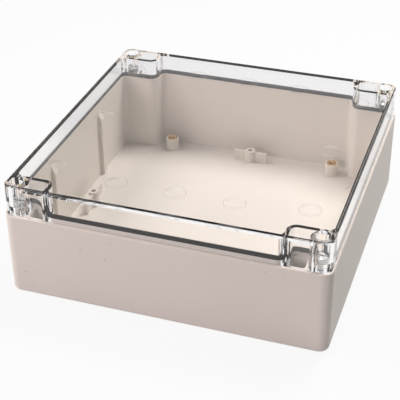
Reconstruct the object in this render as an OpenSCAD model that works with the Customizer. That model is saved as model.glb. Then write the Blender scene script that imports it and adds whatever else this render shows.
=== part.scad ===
// Square plastic enclosure: grey moulded base tub, clear screw-down lid, gasket, screws and brass inserts.
// The frame has its origin under the middle of the base. The front is towards -Y and the lid is on top.

/* [Overall] */
// Outside width, left to right
box_w = 160; // [130:1:240]
// Outside depth, front to rear
box_d = 160; // [110:1:240]
// Height of the base up to the seam with the lid
base_h = 44.5; // [30:0.5:90]
// Height of the lid above the seam
lid_h = 16.5; // [14:0.5:40]
// Radius of the four upright outside edges
corner_r = 5; // [4:0.5:7]

/* [Walls] */
// Thickness of the base's side walls
wall_t = 3; // [2.6:0.1:3.6]
// Distance that the lid's sides stand back from the base's sides
lid_inset = 0.9; // [0.4:0.1:1]
// Thickness of the lid's outer skin beside its corner pockets
pocket_skin = 1.2; // [1:0.1:1.6]
// Thickness of the base's floor
floor_t = 3; // [2:0.5:5]
// Thickness of the lid's top plate
plate_t = 3; // [2:0.5:4]
// Rounding of the base's bottom edge
foot_r = 2; // [0.5:0.25:3]
// Rounding of the base's rim at the seam
rim_r = 0.8; // [0.3:0.1:1.2]
// Rounding of the lid's top edge
lid_edge_r = 1.2; // [0.5:0.1:2]
// Rounding of the lid's lower edge at the seam
lid_seam_r = 0.3; // [0.1:0.1:0.6]

/* [Corner towers] */
// Length of a tower along X, from the outside face to its inner end
tower_len = 23.5; // [22:0.5:30]
// Depth of a tower along Y, from the outside face to its inner side
tower_depth = 13; // [12:0.5:16]
// Radius of the tower's inner nose
nose_r = 5; // [4:0.25:7]
// Radius where the tower runs out into a wall
root_r = 3; // [1:0.25:5]
// Distance of a lid screw's axis from both outside faces
screw_inset = 6.5; // [6:0.1:7.5]
// Length of the solid end of a tower that holds the lid screw
solid_len = 13; // [11.5:0.5:14]
// Thickness of the wall between a well and the sealed space
well_wall_t = 2; // [1.6:0.1:3]
// Rounding of the wells in plan
well_r = 1.5; // [0.5:0.25:2.5]
// Diameter of the hole for a wall mounting screw
mount_hole_d = 4.5; // [3.5:0.1:5.5]

/* [Seal] */
// Thickness of the upstand that carries the gasket
upstand_t = 1; // [0.8:0.1:1.2]
// Height of the upstand above the seam
upstand_h = 2.5; // [1.5:0.1:4]
// Clearance between the upstand and the lid's skirt
skirt_gap = 0.2; // [0.1:0.05:0.3]
// Depth of the groove that holds the gasket in the lid
groove_h = 1; // [0.4:0.1:1.4]
// Thickness of the lip on the inner side of the groove
lip_t = 0.4; // [0.3:0.05:0.5]
// Clearance between the gasket and each side of its groove
groove_gap = 0.05; // [0.02:0.01:0.06]
// Height of the gasket that shows between the lip and the upstand when the lid is down
gasket_show = 1.2; // [0.6:0.1:2]
// Gap that the gasket keeps open under the lid's lower edge
seam_gap = 0.1; // [0.05:0.05:0.3]

/* [Lid screws] */
// Diameter of a lid column
column_d = 11; // [10:0.25:12]
// Thickness of the web at the foot of a column, under the screw head
web_t = 4; // [3:0.5:8]
// Diameter of the bore that takes the screw head
head_bore_d = 7.2; // [7:0.1:8]
// Diameter of the screw head
head_d = 6.6; // [5.5:0.1:6.8]
// Height of the screw head
head_h = 2.6; // [2:0.1:3.5]
// Diameter of the hole through the web
shank_hole_d = 4.4; // [4.2:0.1:5]
// Diameter of the screw's shank in the web
shank_d = 4; // [3.6:0.1:4.1]
// Length of the screw's threaded end below the seam
thread_len = 7; // [4:0.5:7]
// Width of the slot in the screw head
slot_w = 1; // [0.8:0.1:1.4]
// Depth of the slot in the screw head
slot_depth = 1.2; // [0.6:0.1:1.6]

/* [Brass inserts] */
// Outside diameter of an insert
insert_d = 5.6; // [5:0.1:6]
// Diameter of an insert's threaded bore
insert_bore_d = 3.4; // [3:0.1:3.6]
// Diameter of the chamfer at an insert's mouth
insert_mouth_d = 4.4; // [4:0.1:4.6]
// Length of an insert in a corner tower
tower_insert_len = 8; // [7.5:0.5:12]
// Length of an insert in a board post
post_insert_len = 6; // [4:0.5:6.5]
// Height by which a board post's insert stands proud
insert_proud = 0.5; // [0:0.1:1]
// Clearance between an insert and its hole
insert_gap = 0.02; // [0.01:0.01:0.05]
// Radial clearance between a screw's thread and an insert
thread_gap = 0.05; // [0.02:0.01:0.1]

/* [Board posts] */
// Distance of the corner board posts from the outside faces at left and right
post_inset_x = 32; // [28:0.5:45]
// Distance of the front and rear board posts from the outside faces at front and rear
post_inset_y = 12; // [10:0.5:20]
// Distance of the side board posts from the outside faces at left and right
side_inset = 10.5; // [9:0.5:20]
// Height of a board post above the floor
post_h = 7; // [6:0.5:15]
// Diameter of a board post with a brass insert
post_d = 7.4; // [7:0.1:9]
// Diameter of a plain board post
plain_post_d = 5.6; // [5:0.1:8]
// Diameter of the pilot hole in a plain post
pilot_d = 2.6; // [2:0.1:3.2]
// Depth of the pilot hole in a plain post
pilot_depth = 6; // [3:0.5:8]
// Reach of a side web from the middle of a plain post
web_reach = 9.6; // [6:0.2:14]
// Thickness of a side web
post_web_t = 1.6; // [1:0.1:3]
// Drop of a side web's top below the top of its post
post_web_drop = 0.8; // [0.2:0.1:2]

/* [Wall ribs] */
// Distance between the two ribs on a side wall
rib_pitch = 60; // [30:1:80]
// Width of a wall rib
rib_w = 4; // [2:0.5:6]
// Distance that a wall rib stands out from its wall
rib_t = 2; // [1:0.25:2.5]
// Drop of a rib's top below the seam
rib_drop = 2; // [1:0.5:10]
// Length of the slope at a rib's top
rib_slope = 5; // [2:0.5:8]

/* [Ejector marks] */
// Diameter of the fine ring round a mark under the lid's plate
lid_mark_d = 10.4; // [8:0.2:12]
// Width of the flat land between that ring and its mark
mark_land = 1.2; // [0.5:0.1:2]
// Radius of the ring's half-round groove
mark_ring_r = 0.12; // [0.1:0.02:0.3]
// Diameter of a mark on the base's floor
floor_mark_d = 8; // [5:0.5:10]
// Depth of a mark
mark_depth = 0.2; // [0.1:0.05:0.4]
// Spacing of the marks along the front and rear of the lid
mark_pitch = 29; // [20:1:32]
// Distance of the front and rear rows of marks from the outside faces
mark_row_inset = 21; // [18:1:30]
// Distance of the middle side marks of the lid from the outside faces at left and right
mark_side_inset = 20; // [15:0.5:30]
// Distance of the corner marks of the lid from the outside faces at left and right
mark_corner_inset_x = 17; // [15:0.5:30]
// Distance of the corner marks of the lid from the outside faces at front and rear
mark_corner_inset_y = 26; // [24:1:35]

/* [Hidden] */
$fn = 96;

// Overlap that lets joined or cut shapes run past each other
lap = 1;

// Half sizes of the sealed space and of the part of it between the towers
inner_x = box_w / 2 - wall_t;
inner_y = box_d / 2 - wall_t;
tower_x = box_w / 2 - tower_len;
tower_y = box_d / 2 - tower_depth;
lid_wall_t = wall_t - lid_inset;

// Levels
upstand_top = base_h + upstand_h;
lip_bottom = upstand_top + gasket_show;
gasket_top = lip_bottom + groove_h;
lid_bottom = base_h + seam_gap;
lid_top = base_h + lid_h;
ceiling = lid_top - plate_t;
screw_seat = base_h + web_t;
post_top = floor_t + post_h;

// Positions in the quarter with positive X and Y
screw_x = box_w / 2 - screw_inset;
screw_y = box_d / 2 - screw_inset;
well_x0 = tower_x + well_wall_t;
well_x1 = box_w / 2 - solid_len;
well_y0 = tower_y + well_wall_t;
well_x = (well_x0 + well_x1) / 2;
well_y = (well_y0 + inner_y) / 2;
pocket_x0 = tower_x + lid_wall_t;
pocket_x1 = box_w / 2 - lid_inset - pocket_skin;
pocket_y0 = tower_y + lid_wall_t;
pocket_y1 = box_d / 2 - lid_inset - pocket_skin;
post_x = box_w / 2 - post_inset_x;
post_y = box_d / 2 - post_inset_y;
side_x = box_w / 2 - side_inset;
mark_row_y = box_d / 2 - mark_row_inset;
mark_side_x = box_w / 2 - mark_side_inset;
mark_corner_x = box_w / 2 - mark_corner_inset_x;
mark_corner_y = box_d / 2 - mark_corner_inset_y;

// Copies children into all four corners
module each_corner() {
    for (flip_x = [0, 1])
        for (flip_y = [0, 1])
            mirror([flip_x, 0, 0])
                mirror([0, flip_y, 0])
                    children();
}

// Rectangle with round corners, centred
module round_rect(w, d, r) {
    square([w, d - 2 * r], center = true);
    square([w - 2 * r, d], center = true);
    for (sx = [-1, 1])
        for (sy = [-1, 1])
            translate([sx * (w / 2 - r), sy * (d / 2 - r)])
                circle(r);
}

// Upright section through a moulding of width w, with rounded lower and upper edges
module edge_section(w, h, low_r, top_r) {
    translate([-w / 2, low_r])
        square([w, h - low_r - top_r]);
    translate([-w / 2 + low_r, 0])
        square([w - 2 * low_r, h / 2]);
    translate([-w / 2 + top_r, h / 2])
        square([w - 2 * top_r, h / 2]);
    for (side = [-1, 1]) {
        translate([side * (w / 2 - low_r), low_r])
            circle(low_r);
        translate([side * (w / 2 - top_r), h - top_r])
            circle(top_r);
    }
}

// Solid block with the box's plan, stood back by inset, its upright edges, bottom edge and top edge rounded
module moulded_block(h, inset, low_r, top_r) {
    r = corner_r - inset;
    rotate([90, 0, 0])
        linear_extrude(box_d - 2 * corner_r, center = true)
            edge_section(box_w - 2 * inset, h, low_r, top_r);
    rotate([90, 0, 90])
        linear_extrude(box_w - 2 * corner_r, center = true)
            edge_section(box_d - 2 * inset, h, low_r, top_r);
    each_corner()
        translate([box_w / 2 - corner_r, box_d / 2 - corner_r, 0])
            rotate_extrude(angle = 90)
                intersection() {
                    edge_section(2 * r, h, low_r, top_r);
                    square([r, h]);
                }
}

// Plan of the sealed space, grown outwards all round: its outline runs in an S round each corner tower
module sealed_plan(grow) {
    nose = nose_r - grow;
    round_rect(2 * (tower_x + grow), 2 * (inner_y + grow), root_r + grow);
    round_rect(2 * (inner_x + grow), 2 * (tower_y + grow), root_r + grow);
    each_corner()
        translate([tower_x + grow, tower_y + grow])
            difference() {
                translate([-lap, -lap])
                    square(nose + lap);
                translate([nose, nose])
                    circle(nose);
            }
}

// Hollow in a corner, outside the seal, between the given limits and rounded by r in plan
module corner_hollow(x0, x1, y0, y1, r, h) {
    linear_extrude(h)
        translate([(x0 + x1) / 2, (y0 + y1) / 2])
            round_rect(x1 - x0, y1 - y0, r);
}

// Board post of diameter d on the floor at x, y
module board_post(x, y, d) {
    translate([x, y, floor_t - lap])
        cylinder(d = d, h = post_h + lap);
}

// Plain post with a web to each side, along X
module webbed_post() {
    web_h = post_h - post_web_drop;
    board_post(0, 0, plain_post_d);
    translate([-web_reach, -post_web_t / 2, floor_t - lap])
        cube([2 * web_reach, post_web_t, web_h + lap]);
}

// Upright rib on the right wall at the middle of its side, with a sloped top
module wall_rib() {
    rib_top = base_h - rib_drop;
    translate([inner_x, rib_w / 2, 0])
        rotate([90, 0, 0])
            linear_extrude(rib_w)
                polygon([
                    [lap, floor_t - lap],
                    [-rib_t, floor_t - lap],
                    [-rib_t, rib_top - rib_slope],
                    [0, rib_top],
                    [lap, rib_top]
                ]);
}

// Hole for an insert, open upwards at top
module insert_hole(top, depth) {
    translate([0, 0, top - depth])
        cylinder(d = insert_d + 2 * insert_gap, h = depth + lap);
}

// Threaded brass bush with a chamfered mouth, standing on its lower end
module brass_insert(len) {
    mouth = (insert_mouth_d - insert_bore_d) / 2;
    color([0.78, 0.58, 0.26])
        difference() {
            cylinder(d = insert_d, h = len);
            translate([0, 0, -lap])
                cylinder(d = insert_bore_d, h = len + 2 * lap);
            translate([0, 0, len - mouth])
                cylinder(d1 = insert_bore_d, d2 = insert_mouth_d, h = mouth);
        }
}

// Places of the ejector marks under the lid's plate
module at_lid_marks() {
    for (x = [-mark_pitch, 0, mark_pitch])
        for (y = [-mark_row_y, mark_row_y])
            translate([x, y, 0])
                children();
    for (x = [-mark_side_x, mark_side_x])
        translate([x, 0, 0])
            children();
    each_corner()
        translate([mark_corner_x, mark_corner_y, 0])
            children();
}

// Places of the ejector marks on the floor
module at_floor_marks() {
    for (y = [-mark_row_y, mark_row_y])
        translate([0, y, 0])
            children();
    each_corner()
        translate([mark_corner_x, mark_corner_y, 0])
            children();
}

module base_tub() {
    color([0.79, 0.75, 0.71])
        difference() {
            union() {
                difference() {
                    union() {
                        moulded_block(base_h, 0, foot_r, rim_r);
                        translate([0, 0, base_h - lap])
                            linear_extrude(upstand_h + lap)
                                sealed_plan(upstand_t);
                    }
                    translate([0, 0, floor_t])
                        linear_extrude(upstand_top)
                            sealed_plan(0);
                }
                each_corner()
                    board_post(post_x, post_y, post_d);
                for (turn = [0, 180]) {
                    rotate([0, 0, turn])
                        translate([0, post_y, 0])
                            webbed_post();
                    rotate([0, 0, turn])
                        translate([side_x, 0, 0])
                            rotate([0, 0, 90])
                                webbed_post();
                }
                each_corner()
                    translate([0, rib_pitch / 2, 0])
                        wall_rib();
            }
            each_corner() {
                translate([0, 0, floor_t])
                    corner_hollow(well_x0, well_x1, well_y0, inner_y, well_r, base_h);
                translate([well_x, well_y, -lap])
                    cylinder(d = mount_hole_d, h = floor_t + 2 * lap);
                translate([screw_x, screw_y, 0])
                    insert_hole(base_h, tower_insert_len);
                translate([post_x, post_y, 0])
                    insert_hole(post_top, post_insert_len - insert_proud);
            }
            for (place = [[0, post_y], [0, -post_y], [side_x, 0], [-side_x, 0]])
                translate([place.x, place.y, post_top - pilot_depth])
                    cylinder(d = pilot_d, h = pilot_depth + lap);
            at_floor_marks()
                translate([0, 0, floor_t - mark_depth])
                    cylinder(d = floor_mark_d, h = mark_depth + lap);
        }
}

// Space round the upstand in the lid, with the gasket's groove above it
module seal_space() {
    translate([0, 0, base_h - lap])
        linear_extrude(lip_bottom - base_h + lap)
            sealed_plan(upstand_t + skirt_gap);
    translate([0, 0, lip_bottom - lap])
        linear_extrude(groove_h + lap)
            difference() {
                sealed_plan(upstand_t + skirt_gap);
                sealed_plan(lip_t);
            }
}

module clear_lid() {
    color([0.86, 0.88, 0.94, 0.35])
        difference() {
            union() {
                difference() {
                    translate([0, 0, lid_bottom])
                        moulded_block(lid_top - lid_bottom, lid_inset, lid_seam_r, lid_edge_r);
                    translate([0, 0, lip_bottom - lap])
                        linear_extrude(ceiling - lip_bottom + lap)
                            sealed_plan(0);
                    each_corner()
                        translate([0, 0, base_h - lap])
                            corner_hollow(pocket_x0, pocket_x1, pocket_y0, pocket_y1,
                                          nose_r - lid_wall_t, ceiling - base_h + lap);
                }
                each_corner()
                    translate([screw_x, screw_y, lid_bottom])
                        cylinder(d = column_d, h = lid_top - lid_bottom - plate_t / 2);
            }
            seal_space();
            each_corner()
                translate([screw_x, screw_y, 0]) {
                    translate([0, 0, base_h - lap])
                        cylinder(d = shank_hole_d, h = lid_h);
                    translate([0, 0, screw_seat])
                        cylinder(d = head_bore_d, h = lid_h);
                }
            at_lid_marks() {
                translate([0, 0, ceiling - lap])
                    cylinder(d = lid_mark_d - 2 * mark_land, h = mark_depth + lap);
                translate([0, 0, ceiling])
                    rotate_extrude()
                        translate([lid_mark_d / 2, 0])
                            circle(mark_ring_r);
            }
        }
}

module lid_gasket() {
    color([0.06, 0.06, 0.06])
        translate([0, 0, upstand_top])
            linear_extrude(gasket_top - upstand_top)
                difference() {
                    sealed_plan(upstand_t + skirt_gap - groove_gap);
                    sealed_plan(lip_t + groove_gap);
                }
}

// Lid screw in the corner given by the signs of X and Y: slotted cheese head, shank and threaded end
module lid_screw(sx, sy) {
    tip = base_h - thread_len;
    thread_core_d = insert_bore_d - 2 * thread_gap;
    head_top = screw_seat + head_h;
    color([0.72, 0.73, 0.75])
        translate([sx * screw_x, sy * screw_y, 0])
            difference() {
                union() {
                    translate([0, 0, tip])
                        cylinder(d = thread_core_d, h = thread_len + lap);
                    translate([0, 0, base_h])
                        cylinder(d = shank_d, h = web_t + lap);
                    translate([0, 0, screw_seat])
                        cylinder(d = head_d, h = head_h);
                }
                translate([-head_d, -slot_w / 2, head_top - slot_depth])
                    cube([2 * head_d, slot_w, slot_depth + lap]);
            }
}

// Insert that takes the lid screw, in the corner given by the signs of X and Y
module tower_insert(sx, sy) {
    translate([sx * screw_x, sy * screw_y, base_h - tower_insert_len])
        brass_insert(tower_insert_len);
}

// Insert in the corner board post given by the signs of X and Y
module post_insert(sx, sy) {
    translate([sx * post_x, sy * post_y, post_top + insert_proud - post_insert_len])
        brass_insert(post_insert_len);
}

base_tub();
clear_lid();
lid_gasket();
lid_screw(-1, -1);  // lid_screw_front_left
lid_screw(1, -1);  // lid_screw_front_right
lid_screw(-1, 1);  // lid_screw_rear_left
lid_screw(1, 1);  // lid_screw_rear_right
tower_insert(-1, -1);  // tower_insert_front_left
tower_insert(1, -1);  // tower_insert_front_right
tower_insert(-1, 1);  // tower_insert_rear_left
tower_insert(1, 1);  // tower_insert_rear_right
post_insert(-1, -1);  // post_insert_front_left
post_insert(1, -1);  // post_insert_front_right
post_insert(-1, 1);  // post_insert_rear_left
post_insert(1, 1);  // post_insert_rear_right
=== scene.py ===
import math

import bmesh
import bpy
from mathutils import Matrix, Vector


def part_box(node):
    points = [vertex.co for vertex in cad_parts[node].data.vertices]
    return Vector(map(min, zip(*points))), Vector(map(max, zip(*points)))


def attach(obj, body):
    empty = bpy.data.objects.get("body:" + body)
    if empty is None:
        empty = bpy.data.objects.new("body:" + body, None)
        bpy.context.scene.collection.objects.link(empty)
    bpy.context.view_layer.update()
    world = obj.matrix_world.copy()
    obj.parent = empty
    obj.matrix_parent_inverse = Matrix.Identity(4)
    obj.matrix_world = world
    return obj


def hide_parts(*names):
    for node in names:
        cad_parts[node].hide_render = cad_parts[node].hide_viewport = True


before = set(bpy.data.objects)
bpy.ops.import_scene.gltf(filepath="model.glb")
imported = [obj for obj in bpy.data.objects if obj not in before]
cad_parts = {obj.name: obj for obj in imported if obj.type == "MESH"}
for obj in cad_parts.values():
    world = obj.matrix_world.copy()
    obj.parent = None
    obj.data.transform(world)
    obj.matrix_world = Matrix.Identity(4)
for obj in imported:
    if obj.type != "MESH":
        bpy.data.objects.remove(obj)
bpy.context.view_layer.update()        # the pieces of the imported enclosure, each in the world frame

scene = bpy.context.scene
scene.view_settings.view_transform = "Standard"
scene.cycles.max_bounces = 40             # light runs a long way inside the clear lid
scene.cycles.glossy_bounces = 32
scene.cycles.transmission_bounces = 32
print("frame loaded with", len(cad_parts), "pieces")

mm = 0.001
fullTurn = 2 * math.pi
black = (0, 0, 0, 1)
white = (1, 1, 1, 1)

# where the photograph was taken from, in the enclosure's own frame
camera = {
    "place": (0.1480, -0.4538, 0.3285),   # metres
    "azimuth": 18.965,                    # degrees, turned left of straight ahead
    "elevation": 32.922,                  # degrees, looking down
    "roll": -0.645,                       # degrees
    "lens": 97.24,                        # mm
    "sensor": 36,                         # mm
    "nearest": 0.01,                      # metres
}


def makeCamera():
    data = bpy.data.cameras.new("photoCamera")
    data.sensor_width = camera["sensor"]
    data.lens = camera["lens"]
    data.clip_start = camera["nearest"]
    made = bpy.data.objects.new("photoCamera", data)
    scene.collection.objects.link(made)
    turn = Matrix.Rotation(math.radians(camera["azimuth"]), 4, "Z")
    tilt = Matrix.Rotation(math.radians(90 - camera["elevation"]), 4, "X")
    roll = Matrix.Rotation(math.radians(camera["roll"]), 4, "Z")
    made.matrix_world = Matrix.Translation(camera["place"]) @ turn @ tilt @ roll
    scene.camera = made


makeCamera()
print("camera placed")


# a socket of a node tree; sums and products of it add Math nodes
class Wire:
    def __init__(self, tree, socket=None):
        self.tree = tree
        self.socket = socket

    def node(self, kind, settings=None, sockets=None, out=0):
        made = self.tree.nodes.new(kind)
        for key, value in (settings or {}).items():
            if key == "stops":
                ramp = made.color_ramp
                while len(ramp.elements) < len(value):
                    ramp.elements.new(0.5)
                for element, (place, colour) in zip(ramp.elements, value):
                    element.position = place
                    element.color = colour
            else:
                setattr(made, key, value)
        for key, value in (sockets or {}).items():
            if isinstance(value, Wire):
                self.tree.links.new(value.socket, made.inputs[key])
            else:
                made.inputs[key].default_value = value
        return Wire(self.tree, made.outputs[out] if made.outputs else None)

    def maths(self, operation, first, second):
        return self.node("ShaderNodeMath", {"operation": operation}, {0: first, 1: second})

    def __add__(self, other):
        return self.maths("ADD", self, other)

    def __radd__(self, other):
        return self.maths("ADD", other, self)

    def __sub__(self, other):
        return self.maths("SUBTRACT", self, other)

    def __rsub__(self, other):
        return self.maths("SUBTRACT", other, self)

    def __mul__(self, other):
        return self.maths("MULTIPLY", self, other)

    def __rmul__(self, other):
        return self.maths("MULTIPLY", other, self)


def newMaterial(name):
    made = bpy.data.materials.new(name)
    made.use_nodes = True
    made.node_tree.nodes.clear()
    return made, Wire(made.node_tree)


def finishMaterial(wire, shader):
    wire.node("ShaderNodeOutputMaterial", sockets={"Surface": shader})


def objectPlace(wire):
    return wire.node("ShaderNodeTexCoord", out="Object")


def noise(wire, place, scale, detail):
    return wire.node("ShaderNodeTexNoise", sockets={"Vector": place, "Scale": scale, "Detail": detail})


# the colours of a Mix node are its inputs 6 and 7 and its output 2
def mixColours(wire, share, first, second):
    return wire.node("ShaderNodeMix", {"data_type": "RGBA"}, {"Factor": share, 6: first, 7: second}, out=2)


def bump(wire, height, distance):
    return wire.node("ShaderNodeBump", sockets={"Strength": 1.0, "Distance": distance, "Height": height})


# 1 for light rays of one kind, such as Camera or Shadow, and 0 for the others
def isRay(wire, kind):
    return wire.node("ShaderNodeLightPath", out="Is " + kind + " Ray")


basePlastic = {
    "pale": (0.715, 0.662, 0.590, 1),     # warm light grey
    "deep": (0.685, 0.632, 0.560, 1),
    "cloudScale": 40.0,                   # patches of the two per metre
    "speck": (0.36, 0.29, 0.25, 1),       # odd dark grains in the melt
    "speckSize": 1.3 * mm,
    "speckFrom": 0.88,                    # noise at which a grain begins to show
    "speckFull": 0.92,                    # noise at which it has its own colour
    "grainSize": 0.5 * mm,                # spark-eroded grain of the mould
    "grainHeight": 0.012 * mm,
    "roughness": 0.42,
    "roughSpan": 0.12,                    # how much the grain adds to it
    "ior": 1.5,
}


def makeBasePlastic():
    made, wire = newMaterial("basePlastic")
    place = objectPlace(wire)
    cloud = noise(wire, place, basePlastic["cloudScale"], detail=3.0)
    grain = noise(wire, place, 1 / basePlastic["grainSize"], detail=2.0)
    dots = noise(wire, place, 1 / basePlastic["speckSize"], detail=0.0)
    clean = mixColours(wire, cloud, basePlastic["deep"], basePlastic["pale"])
    speck = wire.node("ShaderNodeValToRGB", {
        "stops": [(basePlastic["speckFrom"], black), (basePlastic["speckFull"], white)]}, {0: dots})
    shader = wire.node("ShaderNodeBsdfPrincipled", sockets={
        "Base Color": mixColours(wire, speck, clean, basePlastic["speck"]),
        "Roughness": basePlastic["roughness"] + basePlastic["roughSpan"] * grain,
        "IOR": basePlastic["ior"],
        "Normal": bump(wire, grain, basePlastic["grainHeight"]),
    })
    finishMaterial(wire, shader)
    return made


clearPlastic = {
    "colour": (0.985, 0.985, 0.99, 1),
    "ior": 1.58,                          # polycarbonate
    "shadow": (0.95, 0.95, 0.955, 1),     # light let through at each face
    "rippleSize": 14 * mm,                # faint waviness of the moulded faces
    "rippleHeight": 0.003 * mm,
}


def makeClearPlastic():
    made, wire = newMaterial("clearPlastic")
    ripple = noise(wire, objectPlace(wire), 1 / clearPlastic["rippleSize"], detail=1.0)
    glass = wire.node("ShaderNodeBsdfPrincipled", sockets={
        "Base Color": clearPlastic["colour"],
        "Roughness": 0.0,
        "IOR": clearPlastic["ior"],
        "Transmission Weight": 1.0,
        "Normal": bump(wire, ripple, clearPlastic["rippleHeight"]),
    })
    # light that crosses the lid on its way to or from a matt surface goes straight on
    through = wire.node("ShaderNodeBsdfTransparent", sockets={"Color": clearPlastic["shadow"]})
    straight = isRay(wire, "Shadow") + isRay(wire, "Diffuse")
    shader = wire.node("ShaderNodeMixShader", sockets={0: straight, 1: glass, 2: through})
    finishMaterial(wire, shader)
    return made


sealRubber = {
    "colour": (0.009, 0.008, 0.0075, 1),
    "dust": (0.020, 0.018, 0.016, 1),     # chalky bloom in patches
    "bloomScale": 90.0,                   # those patches per metre
    "skinSize": 0.7 * mm,
    "skinHeight": 0.015 * mm,
    "roughness": 0.6,
    "roughSpan": 0.15,                    # how much the skin adds to it
    "specular": 0.12,
}


def makeSealRubber():
    made, wire = newMaterial("sealRubber")
    place = objectPlace(wire)
    skin = noise(wire, place, 1 / sealRubber["skinSize"], detail=3.0)
    bloom = noise(wire, place, sealRubber["bloomScale"], detail=2.0)
    shader = wire.node("ShaderNodeBsdfPrincipled", sockets={
        "Base Color": mixColours(wire, bloom, sealRubber["colour"], sealRubber["dust"]),
        "Roughness": sealRubber["roughness"] + sealRubber["roughSpan"] * skin,
        "Specular IOR Level": sealRubber["specular"],
        "Normal": bump(wire, skin, sealRubber["skinHeight"]),
    })
    finishMaterial(wire, shader)
    return made


screwSteel = {
    "bright": (0.66, 0.65, 0.63, 1),
    "dull": (0.44, 0.43, 0.42, 1),
    "ringPitch": 0.16 * mm,               # of the marks the tool leaves
    "ringHeight": 0.004 * mm,
    "roughness": 0.16,
}
insertBrass = {
    "bright": (0.86, 0.60, 0.25, 1),
    "dull": (0.62, 0.39, 0.13, 1),
    "ringPitch": 0.14 * mm,
    "ringHeight": 0.004 * mm,
    "roughness": 0.15,
}
turning = {
    "wanderScale": 700.0,                 # waves in the tool's marks per metre
    "wander": 4.0,                        # how far they shift a mark, radians
    "tarnishScale": 420.0,                # bright and dull patches per metre
    "roughSpan": 0.2,                     # how much those add to the roughness
}


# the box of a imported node, and the x and y of its upright axis
def boxAndAxis(node):
    low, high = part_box(node)
    return low, high, (low.x + high.x) / 2, (low.y + high.y) / 2


# metal with ring marks round the upright axis of a node; the four corners mirror each other,
# so the places are folded into one corner and its axis does for all four
def makeTurnedMetal(name, metal, node):
    made, wire = newMaterial(name)
    x, y = boxAndAxis(node)[2:]
    centre = (abs(x), abs(y), 0)
    place = objectPlace(wire)
    folded = wire.node("ShaderNodeVectorMath", {"operation": "ABSOLUTE"}, {0: place})
    offset = wire.node("ShaderNodeVectorMath", {"operation": "SUBTRACT"}, {0: folded, 1: centre})
    flat = wire.node("ShaderNodeVectorMath", {"operation": "MULTIPLY"}, {0: offset, 1: (1, 1, 0)})
    reach = wire.node("ShaderNodeVectorMath", {"operation": "LENGTH"}, {0: flat}, out="Value")
    wander = noise(wire, place, turning["wanderScale"], detail=2.0)
    tarnish = noise(wire, place, turning["tarnishScale"], detail=4.0)
    rings = wire.node("ShaderNodeMath", {"operation": "SINE"}, {
        0: reach * (fullTurn / metal["ringPitch"]) + wander * turning["wander"]})
    shader = wire.node("ShaderNodeBsdfPrincipled", sockets={
        "Base Color": mixColours(wire, tarnish, metal["dull"], metal["bright"]),
        "Metallic": 1.0,
        "Roughness": metal["roughness"] + turning["roughSpan"] * tarnish,
        "Normal": bump(wire, rings, metal["ringHeight"]),
    })
    finishMaterial(wire, shader)
    return made


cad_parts["base_tub"].data.materials[0] = makeBasePlastic()
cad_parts["clear_lid"].data.materials[0] = makeClearPlastic()
rubber = makeSealRubber()
steel = makeTurnedMetal("screwSteel", screwSteel, "lid_screw_front_left")
towerBrass = makeTurnedMetal("towerBrass", insertBrass, "tower_insert_front_left")
postBrass = makeTurnedMetal("postBrass", insertBrass, "post_insert_front_left")
print("materials made, base and lid dressed")


corners = ["front_left", "front_right", "rear_left", "rear_right"]
roundSteps = 64                           # faces round a turned piece
sameSpot = 0.001 * mm                     # points closer than this are one
onPlane = 0.0001 * mm                     # how near a cut a point counts as on it
sharpEdge = math.radians(32)              # faces that meet at more than this keep a crisp edge

thread = {
    "pitch": 0.7 * mm,                    # coarse 4 mm thread
    "rise": 0.32 * mm,
    "halfShare": 0.32,                    # half the ridge's width, as a share of the pitch
    "sunk": 0.05 * mm,                    # how far its foot lies inside the metal
    "stepsPerTurn": 32,
}


# turns a profile of (radius, height) points about the upright axis through x, y
def turnProfile(bm, points, x, y, closed):
    verts = [bm.verts.new((x + radius, y, height)) for radius, height in points]
    following = verts[1:] + verts[:1] if closed else verts[1:]
    edges = [bm.edges.new(pair) for pair in zip(verts, following)]
    bmesh.ops.spin(bm, geom=verts + edges, cent=(x, y, 0), axis=(0, 0, 1), angle=fullTurn,
                   steps=roundSteps, use_merge=True)


# a three-sided ridge wound up the axis from low to high, standing out of the given radius or into it
def windThread(bm, x, y, radius, low, high, inwards):
    side = -1 if inwards else 1
    root = radius - side * thread["sunk"]
    half = thread["halfShare"] * thread["pitch"]
    profile = [(root, -half), (radius + side * thread["rise"], 0), (root, half)]
    verts = [bm.verts.new((x + reach, y, low + half + up)) for reach, up in profile]
    edges = [bm.edges.new(pair) for pair in zip(verts, verts[1:] + verts[:1])]
    bm.faces.new(verts)
    turns = (high - low - 2 * half) / thread["pitch"]
    steps = int(turns * thread["stepsPerTurn"])
    made = bmesh.ops.spin(bm, geom=verts + edges, cent=(x, y, 0), axis=(0, 0, 1),
                          dvec=(0, 0, thread["pitch"] / thread["stepsPerTurn"]),
                          angle=steps * fullTurn / thread["stepsPerTurn"], steps=steps)
    last = [part for part in made["geom_last"] if isinstance(part, bmesh.types.BMEdge)]
    bmesh.ops.contextual_create(bm, geom=last)


# puts a bmesh in place of a imported node, on its body and with its material
def finishPiece(bm, name, node, body, material):
    bmesh.ops.remove_doubles(bm, verts=bm.verts, dist=sameSpot)
    bmesh.ops.recalc_face_normals(bm, faces=bm.faces)
    mesh = bpy.data.meshes.new(name)
    bm.to_mesh(mesh)
    bm.free()
    mesh.materials.append(material)
    mesh.shade_smooth()
    mesh.set_sharp_from_angle(angle=sharpEdge)
    piece = bpy.data.objects.new(name, mesh)
    scene.collection.objects.link(piece)
    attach(piece, body)
    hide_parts(node)


sealGasket = {
    "swell": 0.08 * mm,                   # how far the squeezed rubber wets the sides of its groove
}


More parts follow.
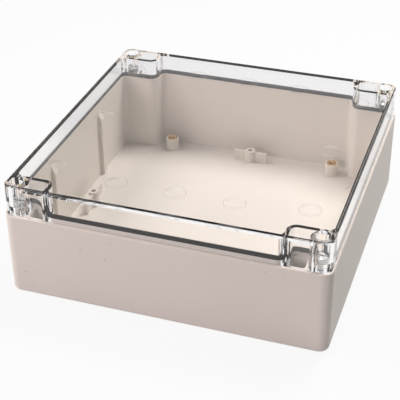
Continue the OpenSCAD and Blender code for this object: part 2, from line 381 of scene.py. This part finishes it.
def makeGasket():
    bm = bmesh.new()
    bm.from_mesh(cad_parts["lid_gasket"].data)
    bmesh.ops.remove_doubles(bm, verts=bm.verts, dist=sameSpot)
    bm.normal_update()
    swollen = [vert.co + vert.normal * vert.calc_shell_factor() * sealGasket["swell"]
               for vert in bm.verts]
    for vert, place in zip(bm.verts, swollen):
        vert.co = place
    finishPiece(bm, "lidGasket", "lid_gasket", "lid", rubber)


lidScrew = {
    "headHeight": 2.6 * mm,
    "headChamfer": 0.4 * mm,
    "chamferBulge": 0.3,                  # where its middle point lies, as a share of the chamfer
    "slotWidth": 1.0 * mm,
    "slotDepth": 1.2 * mm,
    "shankRadius": 2.0 * mm,
    "coreRadius": 1.65 * mm,
    "threadLength": 7.0 * mm,
    "tipChamfer": 0.5 * mm,
}


# opens a straight slot across the top of a turned head
def cutSlot(bm, x, y, floor):
    half = lidScrew["slotWidth"] / 2
    cuts = [
        # a point of the plane and its normal
        ((x, y - half, 0), (0, 1, 0)),
        ((x, y + half, 0), (0, 1, 0)),
        ((x, y, floor), (0, 0, 1)),
    ]
    for point, normal in cuts:
        bmesh.ops.bisect_plane(bm, geom=bm.verts[:] + bm.edges[:] + bm.faces[:], dist=onPlane,
                               plane_co=point, plane_no=normal)
    gone = [face for face in bm.faces
            if abs(face.calc_center_median().y - y) < half and face.calc_center_median().z > floor]
    bmesh.ops.delete(bm, geom=gone, context="FACES")
    # the slot's two walls are filled first, then its floor between them
    rim = [edge for edge in bm.edges if edge.is_boundary]
    foot = [vert for vert in {v for edge in rim for v in edge.verts} if abs(vert.co.z - floor) < sameSpot]
    bottom = [edge for edge in rim if all(vert in foot for vert in edge.verts)]
    for side in (-half, half):
        ends = [vert for vert in foot if abs(vert.co.y - y - side) < sameSpot]
        seam = bm.edges.new((min(ends, key=lambda v: v.co.x), max(ends, key=lambda v: v.co.x)))
        wall = [edge for edge in rim if edge not in bottom
                and all(abs(vert.co.y - y - side) < sameSpot for vert in edge.verts)]
        bmesh.ops.contextual_create(bm, geom=wall + [seam])
        bottom.append(seam)
    bmesh.ops.contextual_create(bm, geom=bottom)


def makeScrew(corner):
    node = "lid_screw_" + corner
    low, high, x, y = boxAndAxis(node)
    headRadius = (high.x - low.x) / 2
    seat = high.z - lidScrew["headHeight"]
    shoulder = low.z + lidScrew["threadLength"]
    core = lidScrew["coreRadius"]
    shank = lidScrew["shankRadius"]
    tip = lidScrew["tipChamfer"]
    edge = lidScrew["headChamfer"]
    bulge = edge * lidScrew["chamferBulge"]
    bm = bmesh.new()
    turnProfile(bm, [
        (0, low.z),
        (core - tip, low.z),
        (core, low.z + tip),
        (core, shoulder),
        (shank, shoulder + shank - core),
        (shank, seat),
        (headRadius, seat),
        (headRadius, high.z - edge),
        (headRadius - bulge, high.z - bulge),
        (headRadius - edge, high.z),
        (0, high.z),
    ], x, y, closed=False)
    bmesh.ops.remove_doubles(bm, verts=bm.verts, dist=sameSpot)
    cutSlot(bm, x, y, high.z - lidScrew["slotDepth"])
    windThread(bm, x, y, core, low.z + tip, shoulder, inwards=False)
    finishPiece(bm, "lidScrew_" + corner, node, "screw_" + corner, steel)


brassInsert = {
    "mouthRadius": 2.2 * mm,
    "boreRadius": 2.05 * mm,              # at the foot of the thread
    "edge": 0.15 * mm,
    "knurlDepth": 0.12 * mm,
}


def makeInsert(name, node, brass, threaded):
    low, high, x, y = boxAndAxis(node)
    outer = (high.x - low.x) / 2
    bore = brassInsert["boreRadius"]
    mouth = brassInsert["mouthRadius"]
    edge = brassInsert["edge"]
    bm = bmesh.new()
    turnProfile(bm, [
        (bore, low.z),
        (outer - 2 * edge, low.z),
        (outer, low.z + 2 * edge),
        (outer, high.z - edge),
        (outer - edge, high.z),
        (mouth, high.z),
        (bore, high.z - 2 * (mouth - bore)),
    ], x, y, closed=True)
    # every other line of points steps in, which knurls the outside
    for vert in bm.verts:
        arm = vert.co - Vector((x, y, vert.co.z))
        turn = round(math.atan2(arm.y, arm.x) / fullTurn * roundSteps)
        if arm.length > outer - edge / 2 and turn % 2:
            vert.co -= arm.normalized() * brassInsert["knurlDepth"]
    if threaded:
        windThread(bm, x, y, bore, low.z, high.z - 2 * edge, inwards=True)
    finishPiece(bm, name, node, "base", brass)


makeGasket()
for corner in corners:
    makeScrew(corner)
    makeInsert("towerInsert_" + corner, "tower_insert_" + corner, towerBrass, threaded=False)
    makeInsert("postInsert_" + corner, "post_insert_" + corner, postBrass, threaded=True)
print("gasket seated, screws and inserts turned in", len(corners), "corners")


stage = {
    "floorSize": 3.0,                     # half width, metres
    "floorColour": (0.58, 0.58, 0.60, 1),
    "floorRoughness": 0.9,
    "floorSpecular": 0.1,
    "whiteShare": 0.90,                   # how much of the floor's look is plain white
    "worldColour": (1.0, 0.99, 0.99, 1),
    "worldStrength": 0.09,
    "skyWhite": 0.91,                     # added where the camera sees past the floor
    "skyGloss": 0.25,                     # added in reflections
    "skyClear": 0.60,                     # added where the clear lid shows it
    "lampAim": (0, 0, 0.03),              # metres
}
lamps = [
    # name, place, width, power, colour
    ("keySoftbox", (0.15, 0.25, 0.50), 0.25, 3.5, (1.0, 0.97, 0.97)),
    ("leftSoftbox", (-0.60, -0.10, 0.70), 0.4, 4.8, (1.0, 0.955, 0.95)),
    ("lowSoftbox", (-0.60, -0.90, 0.30), 0.5, 2.7, (1.0, 0.89, 0.94)),
    ("frontSoftbox", (-0.35, -1.15, 0.42), 0.5, 3.8, (1.0, 0.89, 0.94)),
]


def makeFloorPaper():
    made, wire = newMaterial("floorPaper")
    paper = wire.node("ShaderNodeBsdfPrincipled", sockets={
        "Base Color": stage["floorColour"],
        "Roughness": stage["floorRoughness"],
        "Specular IOR Level": stage["floorSpecular"],
    })
    plain = wire.node("ShaderNodeEmission", sockets={"Color": white, "Strength": 1.0})
    # the same white floor in direct view, in reflections and through the clear lid
    shown = isRay(wire, "Camera") + isRay(wire, "Glossy") + isRay(wire, "Transmission")
    share = wire.maths("MINIMUM", shown, 1.0) * stage["whiteShare"]
    shader = wire.node("ShaderNodeMixShader", sockets={0: share, 1: paper, 2: plain})
    finishMaterial(wire, shader)
    return made


def makeFloor():
    bm = bmesh.new()
    bmesh.ops.create_grid(bm, x_segments=1, y_segments=1, size=stage["floorSize"])
    mesh = bpy.data.meshes.new("floor")
    bm.to_mesh(mesh)
    bm.free()
    mesh.materials.append(makeFloorPaper())
    floor = bpy.data.objects.new("floor", mesh)
    scene.collection.objects.link(floor)


def makeSky():
    world = bpy.data.worlds.new("studio")
    world.use_nodes = True
    world.node_tree.nodes.clear()
    wire = Wire(world.node_tree)
    direct = isRay(wire, "Camera") * stage["skyWhite"]
    mirrored = isRay(wire, "Glossy") * stage["skyGloss"]
    through = isRay(wire, "Transmission") * stage["skyClear"]
    back = wire.node("ShaderNodeBackground", sockets={
        "Color": stage["worldColour"],
        "Strength": direct + mirrored + through + stage["worldStrength"],
    })
    wire.node("ShaderNodeOutputWorld", sockets={"Surface": back})
    scene.world = world


# the polished lid would mirror the lamps as hard white panels, so they leave it out
def makeLamps():
    unlit = bpy.data.collections.new("unlitByLamps")
    unlit.objects.link(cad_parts["clear_lid"])
    unlit.collection_objects[0].light_linking.link_state = "EXCLUDE"
    for name, place, width, power, colour in lamps:
        data = bpy.data.lights.new(name, "AREA")
        data.shape = "SQUARE"
        data.size = width
        data.energy = power
        data.color = colour
        made = bpy.data.objects.new(name, data)
        scene.collection.objects.link(made)
        look = (Vector(stage["lampAim"]) - Vector(place)).to_track_quat("-Z", "Y")
        made.matrix_world = Matrix.Translation(place) @ look.to_matrix().to_4x4()
        made.light_linking.receiver_collection = unlit


makeFloor()
makeSky()
makeLamps()
print("stage and lamps set")
